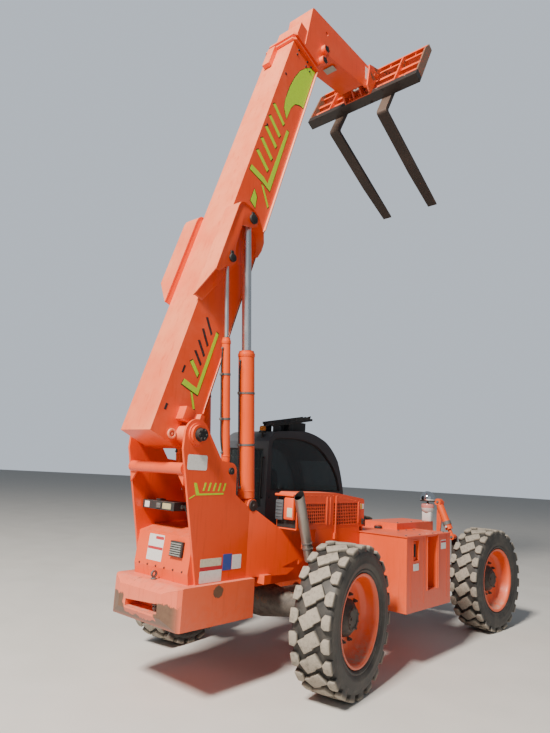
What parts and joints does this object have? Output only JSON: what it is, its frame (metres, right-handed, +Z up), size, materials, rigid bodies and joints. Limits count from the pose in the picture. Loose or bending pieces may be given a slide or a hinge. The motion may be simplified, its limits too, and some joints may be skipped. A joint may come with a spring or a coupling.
{
  "type": "telehandler with a gooseneck boom and fork carriage",
  "caption": "Rough-terrain telehandler: four steered wheels, side cab, rear-pivoted telescopic boom with gooseneck head and tilting fork carriage.",
  "frame": {"origin": "bottom centre of the machine's box, on the ground between the tyres", "axes": "+X forward, +Y left, +Z up"},
  "size_m": [5.8863, 2.7114, 8.105],
  "materials": {
    "orange_paint": "faded gloss",
    "charcoal_paint": "satin",
    "tyre": "dusty",
    "dark_iron": "worn",
    "chrome_rod": "polished",
    "exhaust_metal": "heat dulled",
    "seat_cover": "matte",
    "amber_lens": "clear",
    "lamp_lens": "clear",
    "mirror_face": "gloss",
    "window_glass": "tinted"
  },
  "bodies": {
    "chassis": {"chassis_frame": "orange_paint", "tower": "orange_paint", "counterweight": "orange_paint", "lifting_eye": "dark_iron", "hitch_pin": "dark_iron", "rear_axle": "dark_iron", "front_axle": "dark_iron", "driveline": "dark_iron", "boom_pivot_pin": "dark_iron", "cylinder_foot_pins": "dark_iron", "engine_block": "dark_iron", "engine_tray": "orange_paint", "exhaust_pipe": "exhaust_metal", "tank_box": "orange_paint", "lamp_box": "orange_paint", "valve_box": "charcoal_paint", "cab_shell": "charcoal_paint", "cab_glass": "window_glass", "seat": "seat_cover", "console": "charcoal_paint", "roof_guard": "charcoal_paint", "beacon": "amber_lens", "levelling_cylinder": "orange_paint", "tail_lamp": "lamp_lens", "front_lamp": "lamp_lens", "mirror": "mirror_face"},
    "boom": {"boom_base": "orange_paint", "cylinder_pods": "orange_paint"},
    "middle_section": {"boom_middle": "orange_paint"},
    "fly_section": {"boom_fly": "orange_paint"},
    "carriage": {"fork_carriage": "orange_paint", "carriage_hanger": "orange_paint", "forks": "dark_iron"},
    "tilt_ram_barrel": {"tilt_barrel": "orange_paint"},
    "tilt_ram_rod": {"tilt_rod": "chrome_rod"},
    "hood": {"engine_hood": "orange_paint", "hood_grilles": "charcoal_paint"},
    "door": {"cab_door": "charcoal_paint", "door_glass": "window_glass"},
    "lift_left_barrel_body": {"lift_left_barrel": "orange_paint"},
    "lift_left_rod_body": {"lift_left_rod": "chrome_rod"},
    "slave_left_barrel_body": {"slave_left_barrel": "orange_paint"},
    "slave_left_rod_body": {"slave_left_rod": "chrome_rod"},
    "lift_right_barrel_body": {"lift_right_barrel": "orange_paint"},
    "lift_right_rod_body": {"lift_right_rod": "chrome_rod"},
    "slave_right_barrel_body": {"slave_right_barrel": "orange_paint"},
    "slave_right_rod_body": {"slave_right_rod": "chrome_rod"},
    "steering_rear_left": {"knuckle_rear_left": "dark_iron"},
    "wheel_rear_left": {"tyre_rear_left": "tyre", "rim_rear_left": "orange_paint"},
    "steering_rear_right": {"knuckle_rear_right": "dark_iron"},
    "wheel_rear_right": {"tyre_rear_right": "tyre", "rim_rear_right": "orange_paint"},
    "steering_front_left": {"knuckle_front_left": "dark_iron"},
    "wheel_front_left": {"tyre_front_left": "tyre", "rim_front_left": "orange_paint"},
    "steering_front_right": {"knuckle_front_right": "dark_iron"},
    "wheel_front_right": {"tyre_front_right": "tyre", "rim_front_right": "orange_paint"}
  },
  "joints": [
    {"name": "boom_lift", "type": "hinge", "parent": "chassis", "child": "boom", "pos_m": [-2.572, 0, 2.207], "axis": [0, -1, 0], "range_deg": [-76.5, 0]},
    {"name": "boom_extend", "type": "slide", "parent": "boom", "child": "middle_section", "axis": [0.3082, 0, 0.9513], "range_m": [0, 3.65]},
    {"name": "fly_extend", "type": "slide", "parent": "middle_section", "child": "fly_section", "axis": [0.3082, 0, 0.9513], "range_m": [0, 3.65]},
    {"name": "lift_left_swing", "type": "hinge", "parent": "chassis", "child": "lift_left_barrel_body", "pos_m": [-1.815, 0.314, 1.6], "axis": [0, -1, 0], "range_deg": [-72.63, 0]},
    {"name": "lift_left_stroke", "type": "slide", "parent": "lift_left_barrel_body", "child": "lift_left_rod_body", "axis": [-0.087, 0, 0.9962], "range_m": [-1.19434, 0]},
    {"name": "lift_right_swing", "type": "hinge", "parent": "chassis", "child": "lift_right_barrel_body", "pos_m": [-1.815, -0.314, 1.6], "axis": [0, -1, 0], "range_deg": [-72.63, 0]},
    {"name": "lift_right_stroke", "type": "slide", "parent": "lift_right_barrel_body", "child": "lift_right_rod_body", "axis": [-0.087, 0, 0.9962], "range_m": [-1.19434, 0]},
    {"name": "slave_left_swing", "type": "hinge", "parent": "chassis", "child": "slave_left_barrel_body", "pos_m": [-2.135, 0.328, 1.91], "axis": [0, -1, 0], "range_deg": [-76.19, 0]},
    {"name": "slave_left_stroke", "type": "slide", "parent": "slave_left_barrel_body", "child": "slave_left_rod_body", "axis": [-0.0874, 0, 0.9962], "range_m": [-0.6554, 0]},
    {"name": "slave_right_swing", "type": "hinge", "parent": "chassis", "child": "slave_right_barrel_body", "pos_m": [-2.135, -0.328, 1.91], "axis": [0, -1, 0], "range_deg": [-76.19, 0]},
    {"name": "slave_right_stroke", "type": "slide", "parent": "slave_right_barrel_body", "child": "slave_right_rod_body", "axis": [-0.0874, 0, 0.9962], "range_m": [-0.6554, 0]},
    {"name": "carriage_tilt", "type": "hinge", "parent": "fly_section", "child": "carriage", "pos_m": [0.47592, 0, 7.74211], "axis": [0, -1, 0], "range_deg": [0, 108]},
    {"name": "tilt_ram_swing", "type": "hinge", "parent": "fly_section", "child": "tilt_ram_barrel", "pos_m": [-0.51408, 0, 7.48711], "axis": [0, -1, 0], "range_deg": [0, 5.07]},
    {"name": "tilt_ram_stroke", "type": "slide", "parent": "tilt_ram_barrel", "child": "tilt_ram_rod", "axis": [0.9983, 0, 0.0589], "range_m": [0, 0.39492]},
    {"name": "steer_rear_left", "type": "hinge", "parent": "chassis", "child": "steering_rear_left", "pos_m": [-1.275, 0.785, 0.655], "axis": [0, 0, 1], "range_deg": [-37.5, 22.5]},
    {"name": "roll_rear_left", "type": "hinge", "parent": "steering_rear_left", "child": "wheel_rear_left", "pos_m": [-1.31416, 1.08243, 0.655], "axis": [-0.1305, 0.9914, 0], "continuous": true},
    {"name": "steer_rear_right", "type": "hinge", "parent": "chassis", "child": "steering_rear_right", "pos_m": [-1.275, -0.785, 0.655], "axis": [0, 0, 1], "range_deg": [-37.5, 22.5]},
    {"name": "roll_rear_right", "type": "hinge", "parent": "steering_rear_right", "child": "wheel_rear_right", "pos_m": [-1.23584, -1.08243, 0.655], "axis": [-0.1305, 0.9914, 0], "continuous": true},
    {"name": "steer_front_left", "type": "hinge", "parent": "chassis", "child": "steering_front_left", "pos_m": [2.245, 0.785, 0.655], "axis": [0, 0, 1], "range_deg": [-24.6, 35.4]},
    {"name": "roll_front_left", "type": "hinge", "parent": "steering_front_left", "child": "wheel_front_left", "pos_m": [2.27323, 1.08367, 0.655], "axis": [0.0941, 0.9956, 0], "continuous": true},
    {"name": "steer_front_right", "type": "hinge", "parent": "chassis", "child": "steering_front_right", "pos_m": [2.245, -0.785, 0.655], "axis": [0, 0, 1], "range_deg": [-24.6, 35.4]},
    {"name": "roll_front_right", "type": "hinge", "parent": "steering_front_right", "child": "wheel_front_right", "pos_m": [2.21677, -1.08367, 0.655], "axis": [0.0941, 0.9956, 0], "continuous": true},
    {"name": "hood_lift", "type": "hinge", "parent": "chassis", "child": "hood", "pos_m": [-0.259, -0.55, 1.399], "axis": [0, 1, 0], "range_deg": [0, 55]},
    {"name": "door_swing", "type": "hinge", "parent": "chassis", "child": "door", "pos_m": [-0.095, 1.216, 1.7], "axis": [0, 0, 1], "range_deg": [0, 80]}
  ],
  "couplings": [
    {"joint": "fly_extend", "follows": "boom_extend", "ratio": 1},
    {"joint": "lift_left_swing", "follows": "boom_lift", "ratio": 0.94757},
    {"joint": "lift_left_stroke", "follows": "boom_lift", "m_per_rad": 0.89273},
    {"joint": "lift_right_swing", "follows": "boom_lift", "ratio": 0.94757},
    {"joint": "lift_right_stroke", "follows": "boom_lift", "m_per_rad": 0.89273},
    {"joint": "slave_left_swing", "follows": "boom_lift", "ratio": 0.99394},
    {"joint": "slave_left_stroke", "follows": "boom_lift", "m_per_rad": 0.48989},
    {"joint": "slave_right_swing", "follows": "boom_lift", "ratio": 0.99394},
    {"joint": "slave_right_stroke", "follows": "boom_lift", "m_per_rad": 0.48989},
    {"joint": "tilt_ram_swing", "follows": "carriage_tilt", "ratio": 0.046852},
    {"joint": "tilt_ram_stroke", "follows": "carriage_tilt", "m_per_rad": 0.20909},
    {"joint": "steer_front_right", "follows": "steer_front_left", "ratio": 1},
    {"joint": "steer_rear_right", "follows": "steer_rear_left", "ratio": 1}
  ]
}
